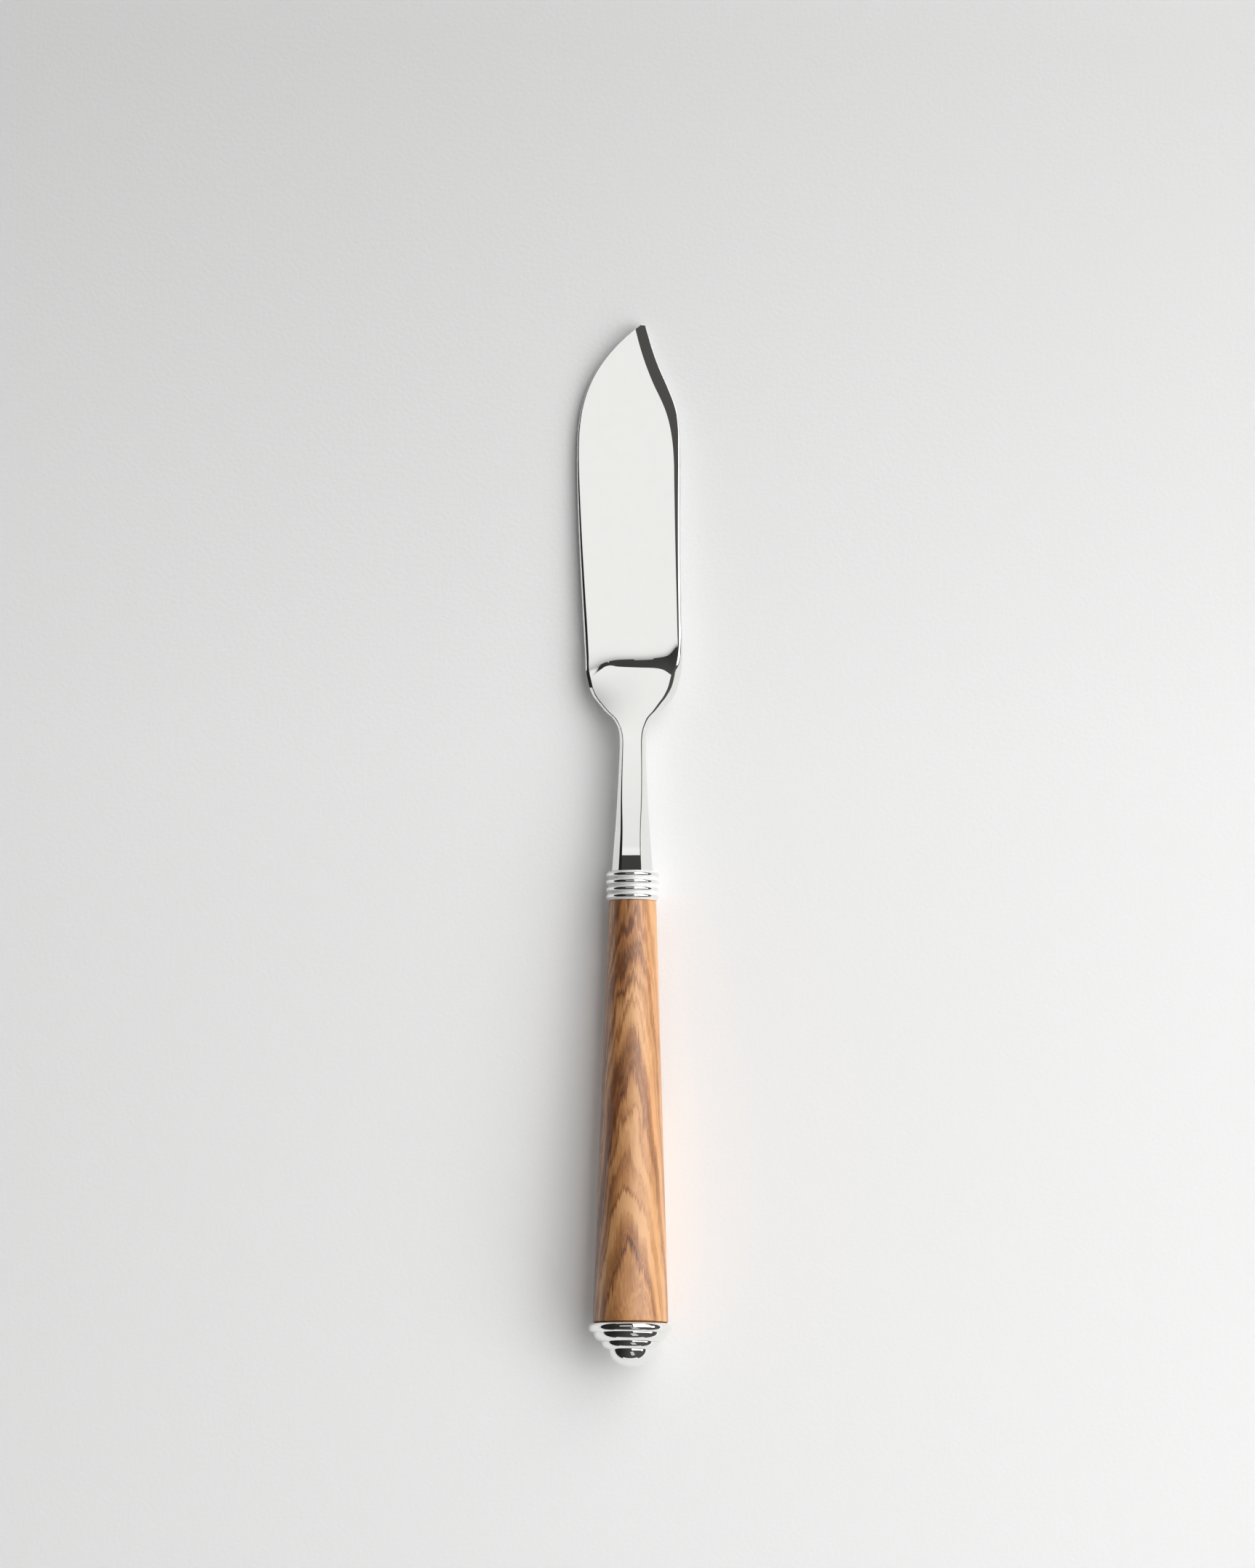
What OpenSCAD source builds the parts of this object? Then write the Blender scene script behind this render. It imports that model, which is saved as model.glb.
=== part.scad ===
// Fish knife: a polished steel blade with a faceted neck, a beaded ferrule, a tapered olive-wood
// handle and a stepped pommel, drawn together on a hidden threaded rod.
// The knife is drawn along its own axis: the tip points to +Y, the show face looks to +Z, the belly
// of the blade lies to -X, and the ferrule's front face is at Y = 0. The module lie_down() then lays
// it on the table as it rests: on the pommel's widest ring, the first bead and the belly's edge.

/* [Blade plate] */
// Length of the flat plate, from the tip to the heel
plate_len = 70; // [60:0.5:85]
// Reach of the belly to the left of the axis
belly_reach = 12.2; // [9:0.1:16]
// Station of the fullest part of the belly, from the tip
belly_at = 30; // [24:0.5:38]
// Reach of the spine to the right of the axis, behind the swept point
spine_reach = 9.7; // [7:0.1:12]
// Station where the sweep of the spine ends, from the tip
sweep_len = 30; // [22:0.5:38]
// Distance of the tip's left corner to the right of the axis
tip_out = 1.1; // [0:0.1:3]
// Width of the blunt tip
tip_w = 0.9; // [0.5:0.1:2]
// Half width of the plate at the heel
heel_reach = 10.35; // [8:0.05:13]
// Thickness of the plate
plate_t = 2.1; // [1.8:0.1:3]
// Width of the ground facet along the swept spine
facet_w = 2.5; // [1.2:0.1:3.4]
// Width of the polished round along the belly, at the heel
belly_round_w = 1.05; // [0.5:0.05:1.4]
// Width of the polished round along the spine, at the heel
spine_round_w = 0.6; // [0.3:0.05:1]

/* [Shoulder and neck] */
// Length of the shoulder, from the heel to the waist
shoulder_len = 18; // [14:0.5:26]
// Length of the neck, from the waist to the ferrule
neck_len = 27.8; // [20:0.2:40]
// Height of the raised shoulder above the plate's face
shoulder_rise = 1; // [0.5:0.1:1.6]
// Width of the neck at the waist
waist_w = 5.3; // [4.4:0.1:7]
// Thickness of the neck at the waist
waist_t = 4.6; // [3.8:0.1:6]
// Width of the neck at the ferrule
neck_end_w = 8.4; // [7.6:0.1:9.6]
// Thickness of the neck at the ferrule
neck_end_t = 7; // [6.4:0.1:9]
// Width of each flank of the neck at the ferrule, seen from above
flank_w = 1.5; // [0.9:0.1:1.9]

/* [Ferrule] */
// Diameter over the beads
bead_d = 11.24; // [10.4:0.02:14]
// Number of beads
beads = 4; // [3:1:7]
// Distance from one bead to the next
bead_pitch = 1.53; // [1.3:0.01:2]
// Radius of a bead's crest
crest_r = 0.52; // [0.4:0.01:0.7]
// Depth of the grooves between the beads
groove_deep = 0.44; // [0.2:0.01:0.6]

/* [Handle] */
// Length of the wood
handle_len = 88.8; // [70:0.2:120]
// Diameter of the wood at the ferrule
handle_front_d = 10; // [9.6:0.1:13]
// Diameter of the wood at the pommel
handle_back_d = 15.9; // [14.5:0.1:20]
// Radius of the softened edges
handle_edge_r = 0.3; // [0.1:0.05:0.6]
// Diameter of the hole drilled along the wood
handle_bore_d = 6.2; // [5:0.1:6.4]

/* [Pommel] */
// Diameter of the first, widest ring
ring_1_d = 17.6; // [16.4:0.1:24]
// Length of the first ring
ring_1_len = 2.05; // [1.4:0.05:3]
// Diameter of the second ring
ring_2_d = 15.7; // [14.6:0.1:16]
// Length of the second ring
ring_2_len = 1.9; // [1.2:0.05:3]
// Diameter of the third ring
ring_3_d = 12.4; // [11.4:0.1:13.4]
// Length of the third ring
ring_3_len = 1.6; // [1:0.05:3]
// Diameter of the rounded end
ball_d = 9.1; // [8:0.1:10.4]
// Width of the step between one ring and the next
notch_w = 0.1; // [0.05:0.05:0.3]
// Length of the rounded end
ball_len = 3.5; // [2.5:0.1:5]

/* [Rod and fastening] */
// Diameter of the threaded rod
rod_d = 4.8; // [4:0.1:5]
// Depth of the rod in the blade's neck
rod_in_neck = 7; // [5:0.5:9]
// Depth of the rod in the pommel, behind the seal
rod_in_pommel = 5; // [3.5:0.1:6]
// Thickness of the washer under the nut
washer_t = 1; // [0.6:0.1:1.6]
// Diameter of the washer
washer_d = 9.4; // [8.6:0.1:9.8]
// Distance across the nut's flats
nut_w = 7.6; // [7:0.1:8]
// Thickness of the nut
nut_t = 4; // [3:0.1:4.5]
// Thickness of the dark seal between the wood and the pommel
seal_t = 0.2; // [0.1:0.05:0.5]

/* [Fits] */
// Gap all round between pieces that slide together
fit_gap = 0.03; // [0.01:0.01:0.1]

/* [Hidden] */
$fn = 64;
overrun = 0.5;

// Lengths and stations along the axis
shoulder_end = plate_len + shoulder_len;
blade_len = shoulder_end + neck_len;
ferrule_len = beads * bead_pitch;
handle_y = -ferrule_len;
handle_back_y = handle_y - handle_len;
pommel_y = handle_back_y - seal_t;
ring_2_y = pommel_y - ring_1_len;
ring_3_y = ring_2_y - ring_2_len;
ball_y = ring_3_y - ring_3_len;
pommel_back_y = ball_y - ball_len;

// Joints hidden inside the pieces
stub_wall = 0.85;
stub_d = rod_d + 2 * stub_wall;
stub_len = ferrule_len / 3;
hole_room = 0.5;
tenon_wall = 0.9;
tenon_d = handle_bore_d + 2 * tenon_wall;
tenon_len = ferrule_len * 0.4;
end_room = 0.2;
pocket_room = 0.3;
pocket_d = washer_d + 2 * pocket_room;
collar_len = 1.4;
pocket_deep = washer_t + nut_t + pocket_room + collar_len;
pocket_y = handle_back_y + pocket_deep;
seal_inset = 0.3;

// A smooth curve through a short table of [station, value] pairs
function mix(a, b, f) = a + (b - a) * f;
function ease(f) = let(c = min(max(f, 0), 1)) c * c * (3 - 2 * c);
function pitch_at(t, i) =
    let(a = max(i - 1, 0), b = min(i + 1, len(t) - 1)) (t[b][1] - t[a][1]) / (t[b][0] - t[a][0]);
function row_at(t, s, i = 0) = i >= len(t) - 2 || s < t[i + 1][0] ? i : row_at(t, s, i + 1);
function smooth(t, s) =
    let(i = row_at(t, s), w = t[i + 1][0] - t[i][0], f = min(max((s - t[i][0]) / w, 0), 1))
    t[i][1] * (1 + 2 * f) * pow(1 - f, 2) + t[i + 1][1] * (3 - 2 * f) * f * f
    + w * f * (1 - f) * (pitch_at(t, i) * (1 - f) - pitch_at(t, i + 1) * f);

// A station s runs from the tip. Its zone is 0 to 1 on the plate, to 2 on the shoulder, to 3 on the neck
function zone(s) =
    s < plate_len ? s / plate_len
    : s < shoulder_end ? 1 + (s - plate_len) / shoulder_len
    : 2 + (s - shoulder_end) / neck_len;
function neck_share(s) = pow(max(s - shoulder_end, 0) / neck_len, 1.5);

// Shares of the sweep's length and reach, along the spine behind the tip
sweep_share = [[0, 0], [0.05, 0.06], [0.17, 0.2], [0.29, 0.37], [0.42, 0.595], [0.54, 0.79],
               [0.62, 0.885], [0.7, 0.94], [0.8, 0.975], [1, 1]];
// Shares of the shoulder's length and narrowing, from the heel to the waist
narrowing_share = [[0, 1], [0.16, 0.97], [0.33, 0.885], [0.41, 0.835], [0.5, 0.73], [0.58, 0.58],
                   [0.67, 0.4], [0.75, 0.2], [0.84, 0.07], [0.92, 0.015], [1, 0]];
belly_curve = 3.05;
heel_curve = 1.4;

// Left and right outlines
function neck_half(s) = mix(waist_w, neck_end_w, neck_share(s)) / 2;
function shoulder_half(s) =
    mix(neck_half(s), heel_reach, smooth(narrowing_share, (s - plate_len) / shoulder_len));
function left_x(s) =
    s < belly_at ? tip_out - (tip_out + belly_reach) * (1 - pow(1 - s / belly_at, belly_curve))
    : s < plate_len
    ? -mix(belly_reach, heel_reach, pow((s - belly_at) / (plate_len - belly_at), heel_curve))
    : -shoulder_half(s);
function right_x(s) =
    s < sweep_len ? mix(tip_out + tip_w, spine_reach, smooth(sweep_share, s / sweep_len))
    : s < plate_len ? mix(spine_reach, heel_reach, pow((s - sweep_len) / (plate_len - sweep_len), 2))
    : shoulder_half(s);

// The shoulder rises from the plate at a curved line. Its place and its breadth are shares of the
// shoulder's length, from the belly side at -1 to the spine at 1
rise_at_share = [[-1, 0.2], [-0.78, 0.09], [-0.5, 0.05], [0, 0.06], [0.5, 0.04], [0.72, 0.01],
                 [0.85, -0.08], [1, -0.12]];
rise_len_share = [[-1, 0.1], [-0.78, 0.14], [-0.5, 0.1], [0, 0.09], [0.5, 0.12], [0.72, 0.2],
                  [0.85, 0.33], [1, 0.36]];
function rise_share(s, x) =
    let(across = x / heel_reach,
        begin = plate_len + shoulder_len * smooth(rise_at_share, across),
        f = (s - begin) / (shoulder_len * smooth(rise_len_share, across)))
    f <= 0 ? 0 : f >= 1 ? 1 : mix(f * f, f, 0.4);
function crown_h(s) =
    s < shoulder_end
    ? mix(plate_t / 2 + shoulder_rise, waist_t / 2, ease((s - plate_len) / shoulder_len))
    : mix(waist_t, neck_end_t, neck_share(s)) / 2;
function face_h(s, x) = mix(plate_t / 2, crown_h(s), rise_share(s, x));

// Widths beside the flat face, by zone: the strip next to it, then the strip at the outer edge.
// On the plate they differ from side to side, and on the shoulder and the neck they are alike
facet_share = [[0, 0.4], [0.02, 0.74], [0.07, 0.86], [0.13, 0.94], [0.18, 1], [0.23, 0.9],
               [0.27, 0.76], [0.31, 0.6], [0.38, 0.38], [0.47, 0.3], [0.64, 0.21], [0.82, 0.14],
               [0.91, 0.12], [1, 0.2]];
spine_edge_share = [[0, 0.08], [0.1, 0.1], [0.23, 0.2], [0.3, 0.4], [0.38, 0.65], [0.64, 0.83],
                    [1, 1]];
belly_round_share = [[0, 0.24], [0.35, 0.43], [0.55, 0.62], [0.91, 0.9], [1, 1]];
edge_part = 0.4;
neck_strip_share = [[1, 0.42], [1.33, 0.25], [1.5, 0.45], [1.67, 0.33], [1.84, 0.12], [2.06, 0.1],
                    [2.23, 0.13], [2.45, 0.2], [2.72, 0.33], [3, 0.47]];
neck_edge_share = [[1, 0.28], [1.33, 0.5], [1.5, 0.55], [1.67, 0.57], [1.84, 0.4], [2.06, 0.42],
                   [2.23, 0.43], [2.45, 0.55], [2.72, 0.85], [3, 1]];

// One cross section as [x, z] pairs: over the show face from the belly to the spine, and back
// under the plain face. The facet is ground on the show face alone
face_steps = 8;
edge_steps = 3;
facet_slope = 0.95;
round_slope = 0.41;
land_h = 0.1;
back_strip = 0.12;
neck_side_h = waist_t / 5;
function edge_points(x, reach, foot, low, straight) =
    [for (i = [0 : edge_steps - 1])
        let(f = i / edge_steps, a = 90 * f)
        [mix(x + reach * (1 - cos(a)), x + reach * f, straight),
         mix(mix(low, foot, sin(a)), mix(low, foot, f), straight)]];
function reversed(v) = [for (i = [len(v) - 1 : -1 : 0]) v[i]];
function section(s) =
    let(z = zone(s), xl = left_x(s), xr = right_x(s), solid = ease(4 * z - 4),
        tight = min(1, (xr - xl) / facet_w),
        round_w = belly_round_w * smooth(belly_round_share, z) * tight,
        strip_w = flank_w * smooth(neck_strip_share, z),
        edge_w = flank_w * smooth(neck_edge_share, z),
        ls = mix(round_w * (1 - edge_part), strip_w, solid), le = mix(round_w * edge_part, edge_w, solid),
        rs = mix(facet_w * smooth(facet_share, z) * tight, strip_w, solid),
        re = mix(spine_round_w * smooth(spine_edge_share, z) * tight, edge_w, solid),
        bs = mix(back_strip, rs, solid),
        cl = xl + le + ls, cr = xr - re - rs, cb = xr - re - bs,
        low = mix(land_h, neck_side_h, solid), floor_h = plate_t / 2 - land_h - back_strip,
        foot_l = face_h(s, cl) - ls * round_slope,
        drop = min(rs * mix(facet_slope, round_slope, solid), 0.88 * plate_t),
        foot_r = face_h(s, cr) - drop,
        foot_b = face_h(s, cb) - bs * round_slope,
        side_r = mix(max(min(low, foot_r - re), -floor_h), low, solid))
    concat(
        edge_points(xl, le, foot_l, low, solid),
        [[xl + le, foot_l]],
        [for (i = [0 : face_steps]) let(x = mix(cl, cr, i / face_steps)) [x, face_h(s, x)]],
        [[xr - re, foot_r]],
        reversed(edge_points(xr, -re, foot_r, side_r, solid)),
        edge_points(xr, -re, -foot_b, mix(side_r - land_h, -low, solid), solid),
        [[xr - re, -foot_b]],
        [for (i = [face_steps : -1 : 0]) let(x = mix(cl, cb, i / face_steps)) [x, -face_h(s, x)]],
        [[xl + le, -foot_l]],
        reversed(edge_points(xl, le, -foot_l, -low, solid)));

// Stations of the cross sections: close together round the tip and across the rise at the heel
tip_rows = 22;
plate_rows = 8;
heel_rows = 20;
shoulder_rows = 12;
neck_rows = 10;
heel_before = shoulder_len / 6;
heel_after = shoulder_len * 0.36;
stations = concat(
    [for (i = [0 : tip_rows]) sweep_len * pow(i / tip_rows, 1.7)],
    [for (i = [1 : plate_rows]) mix(sweep_len, plate_len - heel_before, i / plate_rows)],
    [for (i = [1 : heel_rows]) mix(plate_len - heel_before, plate_len + heel_after, i / heel_rows)],
    [for (i = [1 : shoulder_rows]) mix(plate_len + heel_after, shoulder_end, i / shoulder_rows)],
    [for (i = [1 : neck_rows]) mix(shoulder_end, blade_len, i / neck_rows)]);

// How the knife lies on the table: on the pommel's widest ring and the first bead of the ferrule,
// rolled until the edge of the belly touches
ring_1_y = pommel_y - ring_1_len / 2;
rest_tilt = atan((ring_1_d - bead_d) / 2 / (-bead_pitch / 2 - ring_1_y));
rest_lift = ring_1_d / 2 * cos(rest_tilt) + ring_1_y * sin(rest_tilt);
function room_under(s) = (rest_lift - (blade_len - s) * sin(rest_tilt)) / cos(rest_tilt);
rest_roll = min([for (s = stations) for (p = section(s))
                 if (p[0] < 0 && p[1] < 0 && norm(p) > room_under(s))
                 asin(room_under(s) / norm(p)) - atan2(-p[1], -p[0])]);
rest_x = (belly_reach - heel_reach) / 2;
rest_y = -(blade_len + pommel_back_y) / 2;
module lie_down() {
    translate([rest_x, rest_y, rest_lift]) rotate([-rest_tilt, 0, 0]) rotate([0, -rest_roll, 0])
        children();
}

// A closed skin over cross sections placed along the axis, each end closed round its middle
module skin(stations) {
    rows = [for (s = stations) section(s)];
    n = len(rows[0]);
    last = len(rows) - 1;
    middle = [for (i = [0, last]) let(s = stations[i]) [(left_x(s) + right_x(s)) / 2, blade_len - s, 0]];
    points = concat([for (i = [0 : last]) for (p = rows[i]) [p[0], blade_len - stations[i], p[1]]],
                    middle);
    sides = [for (i = [0 : last - 1]) for (j = [0 : n - 1])
        let(k = (j + 1) % n)
        for (f = [[i * n + j, i * n + k, i * n + n + j], [i * n + k, i * n + n + k, i * n + n + j]])
            f];
    caps = [for (j = [0 : n - 1])
        let(k = (j + 1) % n)
        for (f = [[k, j, (last + 1) * n], [last * n + j, last * n + k, (last + 1) * n + 1]])
            f];
    polyhedron(points, concat(sides, caps));
}

// A solid of revolution about the knife's axis, from [radius, y] pairs
module turned(outline) {
    rotate([-90, 0, 0]) rotate_extrude() polygon(outline);
}
module bore(d, from_y, to_y) {
    rotate([-90, 0, 0]) translate([0, 0, from_y]) cylinder(h = to_y - from_y, d = d);
}

module blade() {
    color([0.86, 0.86, 0.84]) lie_down() difference() {
        union() {
            skin(stations);
            bore(stub_d, -stub_len, overrun);
        }
        bore(rod_d + 2 * fit_gap, -stub_len - overrun, rod_in_neck + hole_room);
    }
}

// The ferrule's outline: each bead is a round crest between two round grooves
groove_turn = 2 * atan(2 * groove_deep / bead_pitch);
groove_r = bead_pitch / 2 / sin(groove_turn) - crest_r;
groove_floor = bead_d / 2 - groove_deep;
arc_steps = 4;
function bead_outline(y) = concat(
    [for (j = [0 : arc_steps - 1])
        let(a = groove_turn * j / arc_steps)
        [groove_floor + groove_r * (1 - cos(a)), y - groove_r * sin(a)]],
    [for (j = [-arc_steps : arc_steps])
        let(a = groove_turn * j / arc_steps)
        [bead_d / 2 - crest_r * (1 - cos(a)), y - bead_pitch / 2 - crest_r * sin(a)]],
    [for (j = [arc_steps - 1 : -1 : 1])
        let(a = groove_turn * j / arc_steps)
        [groove_floor + groove_r * (1 - cos(a)), y - bead_pitch + groove_r * sin(a)]]);
module ferrule() {
    color([0.9, 0.9, 0.88]) lie_down() difference() {
        turned(concat(
            [[0, 0]],
            [for (k = [0 : beads - 1]) for (p = bead_outline(-k * bead_pitch)) p],
            [[groove_floor, -ferrule_len], [0, -ferrule_len]]));
        bore(stub_d + 2 * fit_gap, -stub_len - end_room, overrun);
        bore(rod_d + 2 * fit_gap, -ferrule_len, 0);
        bore(tenon_d + 2 * fit_gap, -ferrule_len - overrun, -ferrule_len + tenon_len + end_room);
    }
}

module handle() {
    color([0.66, 0.46, 0.3]) lie_down() difference() {
        turned([
            [0, handle_y + tenon_len], [tenon_d / 2, handle_y + tenon_len],
            [tenon_d / 2, handle_y], [handle_front_d / 2 - handle_edge_r, handle_y],
            [handle_front_d / 2, handle_y - handle_edge_r],
            [handle_back_d / 2, handle_back_y + handle_edge_r],
            [handle_back_d / 2 - handle_edge_r, handle_back_y], [0, handle_back_y]]);
        bore(handle_bore_d, handle_back_y - overrun, handle_y + tenon_len + overrun);
        bore(pocket_d, handle_back_y - overrun, pocket_y);
    }
}

// The pommel's outline: a full round ring, two quarter-round steps and a rounded end. Each step
// starts a little past its fullest turn, which leaves a fine notch above it
ring_steps = 10;
notch_turn = 25;
ring_1_bulge = ring_1_len * 0.46;
function ring_outline(y, length, top_r, foot_r) =
    let(down = length / (1 + sin(notch_turn)))
    [for (j = [0 : ring_steps])
        let(a = mix(-notch_turn, 90, j / ring_steps))
        [foot_r + (top_r - foot_r) * cos(a), y - length + down - down * sin(a)]];
module pommel() {
    color([0.9, 0.9, 0.88]) lie_down() difference() {
        union() {
            turned(concat(
                [[0, pommel_y]],
                [for (j = [0 : ring_steps])
                    let(a = mix(-90, 90, j / ring_steps))
                    [ring_1_d / 2 - ring_1_bulge * (1 - cos(a)),
                     pommel_y - ring_1_len / 2 * (1 + sin(a))]],
                ring_outline(ring_2_y, ring_2_len, ring_2_d / 2, ring_3_d / 2 + notch_w),
                ring_outline(ring_3_y, ring_3_len, ring_3_d / 2, ball_d / 2 + notch_w),
                ring_outline(ball_y, ball_len, ball_d / 2, 0)));
            bore(pocket_d - 2 * fit_gap, pommel_y - overrun, handle_back_y + collar_len);
        }
        bore(rod_d + 2 * fit_gap, pommel_y - rod_in_pommel - hole_room,
             handle_back_y + collar_len + overrun);
    }
}

module pommel_seal() {
    color([0.12, 0.1, 0.09]) lie_down() difference() {
        bore(handle_back_d - 2 * seal_inset, pommel_y, handle_back_y);
        bore(pocket_d, pommel_y - overrun, handle_back_y + overrun);
    }
}

module tang_rod() {
    color([0.6, 0.6, 0.6]) lie_down() bore(rod_d, pommel_y - rod_in_pommel, rod_in_neck);
}

module tang_bedding() {
    color([0.72, 0.6, 0.36]) lie_down() difference() {
        bore(handle_bore_d - 2 * fit_gap, pocket_y, handle_y + tenon_len);
        bore(rod_d + 2 * fit_gap, pocket_y - overrun, handle_y + tenon_len + overrun);
    }
}

module tang_washer() {
    color([0.7, 0.7, 0.7]) lie_down() difference() {
        bore(washer_d, pocket_y - washer_t, pocket_y);
        bore(rod_d + 2 * fit_gap, pocket_y - washer_t - overrun, pocket_y + overrun);
    }
}

// A hexagon nut whose corners are turned off at both ends
nut_corner_r = nut_w / 2 / cos(30);
nut_chamfer = nut_corner_r - nut_w / 2;
module tang_nut() {
    top_y = pocket_y - washer_t;
    color([0.7, 0.7, 0.7]) lie_down() difference() {
        intersection() {
            rotate([-90, 0, 0]) translate([0, 0, top_y - nut_t])
                cylinder(h = nut_t, r = nut_corner_r, $fn = 6);
            turned([
                [0, top_y], [nut_w / 2, top_y], [nut_corner_r, top_y - nut_chamfer / 2],
                [nut_corner_r, top_y - nut_t + nut_chamfer / 2], [nut_w / 2, top_y - nut_t],
                [0, top_y - nut_t]]);
        }
        bore(rod_d + 2 * fit_gap, top_y - nut_t - overrun, top_y + overrun);
    }
}

blade();
ferrule();
handle();
pommel();
pommel_seal();
tang_rod();
tang_bedding();
tang_washer();
tang_nut();
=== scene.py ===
"""Looks of a fish knife lying on a pale table, seen from above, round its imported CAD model."""

import math

import bmesh
import bpy
from mathutils import Matrix, Vector


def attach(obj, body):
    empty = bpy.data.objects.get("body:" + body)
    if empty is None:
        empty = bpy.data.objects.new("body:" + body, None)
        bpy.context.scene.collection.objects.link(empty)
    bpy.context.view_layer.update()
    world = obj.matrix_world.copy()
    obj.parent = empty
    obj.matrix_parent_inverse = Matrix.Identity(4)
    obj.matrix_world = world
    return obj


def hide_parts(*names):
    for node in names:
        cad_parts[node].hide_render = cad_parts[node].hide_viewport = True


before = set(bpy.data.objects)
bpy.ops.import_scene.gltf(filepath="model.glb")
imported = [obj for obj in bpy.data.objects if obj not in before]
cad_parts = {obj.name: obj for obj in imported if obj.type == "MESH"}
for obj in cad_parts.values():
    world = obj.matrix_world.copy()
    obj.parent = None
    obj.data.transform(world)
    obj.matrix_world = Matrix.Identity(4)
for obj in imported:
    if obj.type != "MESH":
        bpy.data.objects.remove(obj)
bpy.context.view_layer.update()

# Sizes in millimetres, the same as the solids have, but for the rounding of the beads. The knife is
# drawn along its own axis, with the tip to +Y, the show face to +Z, the belly to the left and the
# ferrule's front face at Y = 0, and is then laid down

# The blade
PLATE_LEN = 70.0
SHOULDER_LEN = 18.0
NECK_LEN = 27.8
SHOULDER_END = PLATE_LEN + SHOULDER_LEN
BLADE_LEN = SHOULDER_END + NECK_LEN
BELLY_REACH = 12.2
BELLY_AT = 30.0
SPINE_REACH = 9.7
SWEEP_LEN = 30.0
TIP_OUT = 1.1
TIP_W = 0.9
HEEL_REACH = 10.35
PLATE_T = 2.1
FACET_W = 2.5
BELLY_ROUND_W = 1.05
SPINE_ROUND_W = 0.6
SHOULDER_RISE = 1.0
WAIST_W = 5.3
WAIST_T = 4.6
NECK_END_W = 8.4
NECK_END_T = 7.0
FLANK_W = 1.5

# The ferrule and its beads
BEAD_D = 11.24
BEADS = 4
BEAD_PITCH = 1.53
CREST_R = 0.46
GROOVE_R = 0.3
FLANK_TURN = math.radians(42)
FERRULE_LEN = BEADS * BEAD_PITCH
STUB_WALL = 0.85
STUB_LEN = FERRULE_LEN / 3

# The handle, its tenon in the ferrule and the pocket in its back
HANDLE_LEN = 88.8
HANDLE_FRONT_D = 10.0
HANDLE_BACK_D = 15.9
HANDLE_EDGE_R = 0.3
HANDLE_BORE_D = 6.2
TENON_WALL = 0.9
TENON_D = HANDLE_BORE_D + 2 * TENON_WALL
TENON_LEN = FERRULE_LEN * 0.4
POCKET_D = 10.0
POCKET_DEEP = 6.7

# The seal and the pommel, with a full ring, two steps and a rounded end
SEAL_T = 0.2
RING_1_D = 17.6
RING_1_LEN = 2.05
RING_1_BULGE = RING_1_LEN * 0.46
RING_2_D = 15.7
RING_2_LEN = 1.9
RING_3_D = 12.4
RING_3_LEN = 1.6
BALL_D = 9.1
BALL_LEN = 3.5
NOTCH_W = 0.1
COLLAR_LEN = 1.4

# The rod, and the room round pieces that fit into others
ROD_D = 4.8
ROD_IN_POMMEL = 5.0
FIT = 0.03
END_ROOM = 0.2
HOLE_ROOM = 0.5

# How many steps the outlines of the turned pieces have, and how many the pieces have around
BEAD_STEPS = 8
EDGE_STEPS = 5
GRIP_ROWS = 60
ARC_STEPS = 24
RING_STEPS = 28
BALL_STEPS = 40
FERRULE_AROUND = 320
HANDLE_AROUND = 256
POMMEL_AROUND = 384

# Places along the axis
HANDLE_Y = -FERRULE_LEN
HANDLE_BACK_Y = HANDLE_Y - HANDLE_LEN
POMMEL_Y = HANDLE_BACK_Y - SEAL_T
RING_2_Y = POMMEL_Y - RING_1_LEN
RING_3_Y = RING_2_Y - RING_2_LEN
BALL_Y = RING_3_Y - RING_3_LEN
POMMEL_BACK_Y = BALL_Y - BALL_LEN

# How it lies on the table
RING_1_MID = POMMEL_Y - RING_1_LEN / 2
TILT = math.atan((RING_1_D - BEAD_D) / 2 / (-BEAD_PITCH / 2 - RING_1_MID))
ROLL = math.radians(6.679078)
LIFT = RING_1_D / 2 * math.cos(TILT) + RING_1_MID * math.sin(TILT)
REST_X = (BELLY_REACH - HEEL_REACH) / 2
REST_Y = -(BLADE_LEN + POMMEL_BACK_Y) / 2
MM = 0.001
LIE = (
    Matrix.Translation(Vector((REST_X, REST_Y, LIFT)) * MM)
    @ Matrix.Rotation(-TILT, 4, "X")
    @ Matrix.Rotation(-ROLL, 4, "Y")
    @ Matrix.Scale(MM, 4)
)
QUARTER = math.pi / 2


def mix(a, b, f):
    return a + (b - a) * f


def ease(f):
    """A share from 0 to 1 that starts and ends gently."""
    c = min(max(f, 0.0), 1.0)
    return c * c * (3 - 2 * c)


def pitch_at(table, i):
    a = max(i - 1, 0)
    b = min(i + 1, len(table) - 1)
    return (table[b][1] - table[a][1]) / (table[b][0] - table[a][0])


def smooth(table, place):
    """The value at a place on a smooth curve through a table of places and values."""
    i = 0
    while i < len(table) - 2 and place >= table[i + 1][0]:
        i += 1
    width = table[i + 1][0] - table[i][0]
    f = min(max((place - table[i][0]) / width, 0.0), 1.0)
    return (
        table[i][1] * (1 + 2 * f) * (1 - f) ** 2
        + table[i + 1][1] * (3 - 2 * f) * f * f
        + width * f * (1 - f) * (pitch_at(table, i) * (1 - f) - pitch_at(table, i + 1) * f)
    )


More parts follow.
